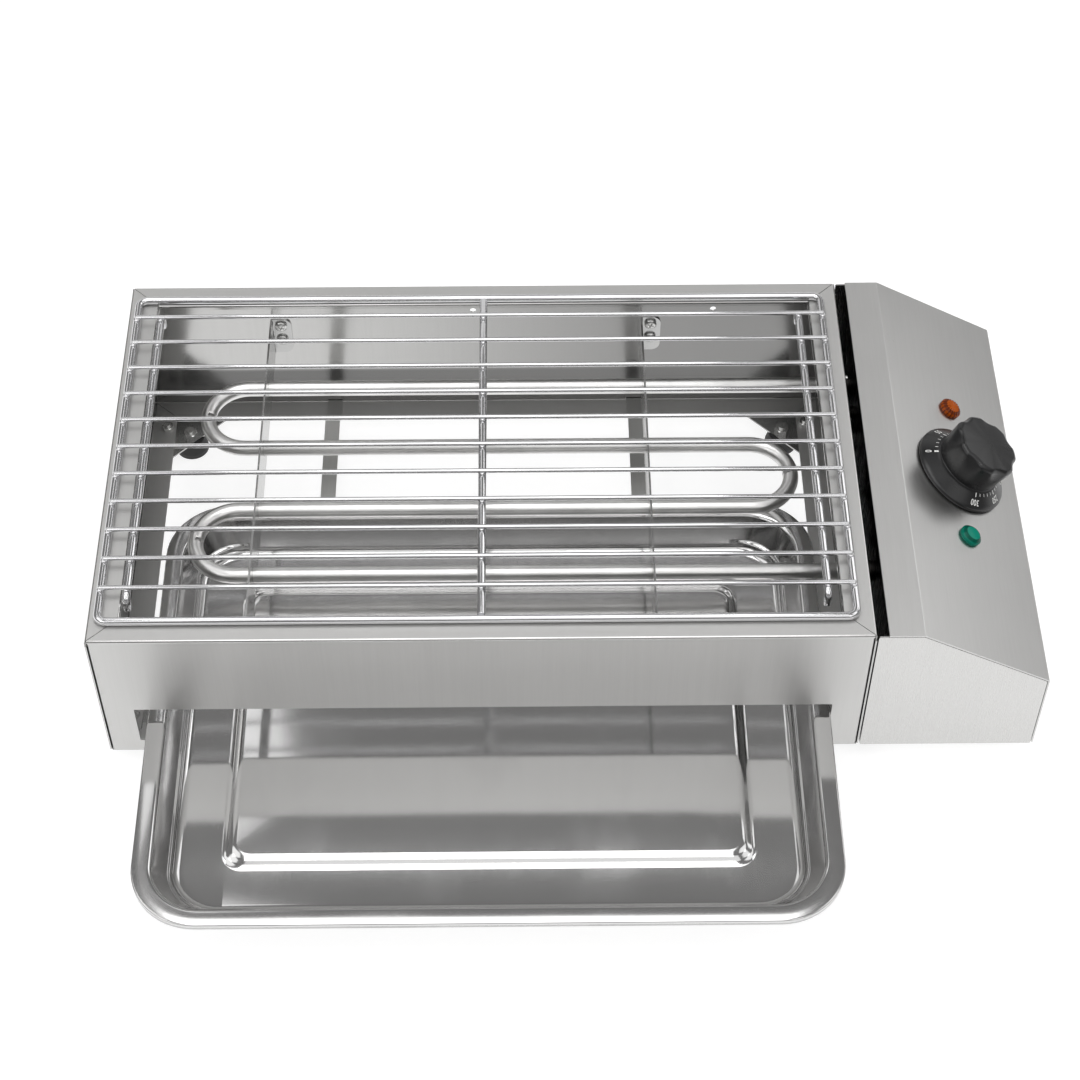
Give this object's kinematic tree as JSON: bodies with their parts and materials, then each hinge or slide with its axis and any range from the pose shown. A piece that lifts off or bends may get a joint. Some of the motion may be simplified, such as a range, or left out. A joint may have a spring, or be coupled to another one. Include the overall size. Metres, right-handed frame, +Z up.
{
  "type": "portable electric grill",
  "caption": "Electric table grill: folded steel box with a tube element, lift-off wire rack, pull-out drip tray and a sloping side control box with a dial knob and two lamps.",
  "frame": {"origin": "centre of the bounding box at the underside of the feet, with the tray half open as in the picture", "axes": "+X along the length, from the cooking box to the control box; +Y from the front, where the tray pulls out, to the back; +Z up"},
  "size_m": [0.57, 0.4466, 0.1374],
  "materials": {
    "front_panel": "fine vertical brushing",
    "back_panel": "fine vertical brushing",
    "left_side_panel": "fine vertical brushing",
    "right_side_panel": "fine vertical brushing",
    "corner_gussets": "plain rolled sheet",
    "gusset_screws": "bright plated",
    "gusset_nuts": "bright plated",
    "rubber_feet": "black moulded rubber",
    "foot_screws": "bright plated",
    "foot_nuts": "bright plated",
    "heating_element": "satin drawn tube",
    "element_bushes": "turned",
    "element_nuts": "turned",
    "element_insulators": "unglazed white ceramic",
    "element_terminals": "plated",
    "left_element_support": "plain rolled sheet",
    "right_element_support": "plain rolled sheet",
    "support_screws": "bright plated",
    "support_nuts": "bright plated",
    "tray_straps": "plain rolled strip",
    "drip_tray": "polished deep-drawn sheet",
    "rack_outer_wire": "chromed wire",
    "rack_long_wires": "chromed wire",
    "rack_cross_wires": "chromed wire",
    "control_chassis": "fine vertical brushing",
    "control_cover": "fine vertical brushing",
    "control_inner_wall": "plain rolled sheet",
    "joining_standoffs": "bright plated",
    "joining_screws": "bright plated",
    "side_screw": "bright plated",
    "base_screws": "bright plated",
    "terminal_block": "unglazed ceramic",
    "earth_screw": "plain brass",
    "earth_nut": "plain brass",
    "cord_bush": "black moulded",
    "cord_bush_nut": "black moulded",
    "thermostat_body": "dark moulded case",
    "thermostat_screws": "bright plated",
    "thermostat_shaft": "turned",
    "thermostat_bulb": "bare copper",
    "bulb_clips": "spring strip",
    "thermostat_knob": "black satin moulding",
    "amber_lamp_lens": "clear amber",
    "green_lamp_lens": "clear green",
    "lamp_clips": "spring steel",
    "lamp_housings": "white moulded"
  },
  "bodies": {
    "housing": {"front_panel": "front_panel", "back_panel": "back_panel", "left_side_panel": "left_side_panel", "right_side_panel": "right_side_panel", "corner_gussets": "corner_gussets", "gusset_screws": "gusset_screws", "gusset_nuts": "gusset_nuts", "rubber_feet": "rubber_feet", "foot_screws": "foot_screws", "foot_nuts": "foot_nuts", "heating_element": "heating_element", "element_bushes": "element_bushes", "element_nuts": "element_nuts", "element_insulators": "element_insulators", "element_terminals": "element_terminals", "left_element_support": "left_element_support", "right_element_support": "right_element_support", "support_screws": "support_screws", "support_nuts": "support_nuts", "tray_straps": "tray_straps", "control_chassis": "control_chassis", "control_cover": "control_cover", "control_inner_wall": "control_inner_wall", "joining_standoffs": "joining_standoffs", "joining_screws": "joining_screws", "side_screw": "side_screw", "base_screws": "base_screws", "terminal_block": "terminal_block", "earth_screw": "earth_screw", "earth_nut": "earth_nut", "cord_bush": "cord_bush", "cord_bush_nut": "cord_bush_nut", "thermostat_body": "thermostat_body", "thermostat_screws": "thermostat_screws", "thermostat_bulb": "thermostat_bulb", "bulb_clips": "bulb_clips", "amber_lamp_lens": "amber_lamp_lens", "green_lamp_lens": "green_lamp_lens", "lamp_clips": "lamp_clips", "lamp_housings": "lamp_housings"},
    "tray": {"drip_tray": "drip_tray"},
    "rack": {"rack_outer_wire": "rack_outer_wire", "rack_long_wires": "rack_long_wires", "rack_cross_wires": "rack_cross_wires"},
    "knob": {"thermostat_knob": "thermostat_knob", "thermostat_shaft": "thermostat_shaft"}
  },
  "joints": [
    {"name": "tray_slide", "type": "slide", "parent": "housing", "child": "tray", "axis": [0, 1, 0], "range_m": [-0.12, 0.122]},
    {"name": "rack_lift", "type": "slide", "parent": "housing", "child": "rack", "axis": [0, 0, 1], "range_m": [0, 0.12]},
    {"name": "knob_turn", "type": "hinge", "parent": "housing", "child": "knob", "pos_m": [0.24495, 0.0663, 0.1015], "axis": [0.498, 0, 0.8672], "range_deg": [0, 258]}
  ]
}
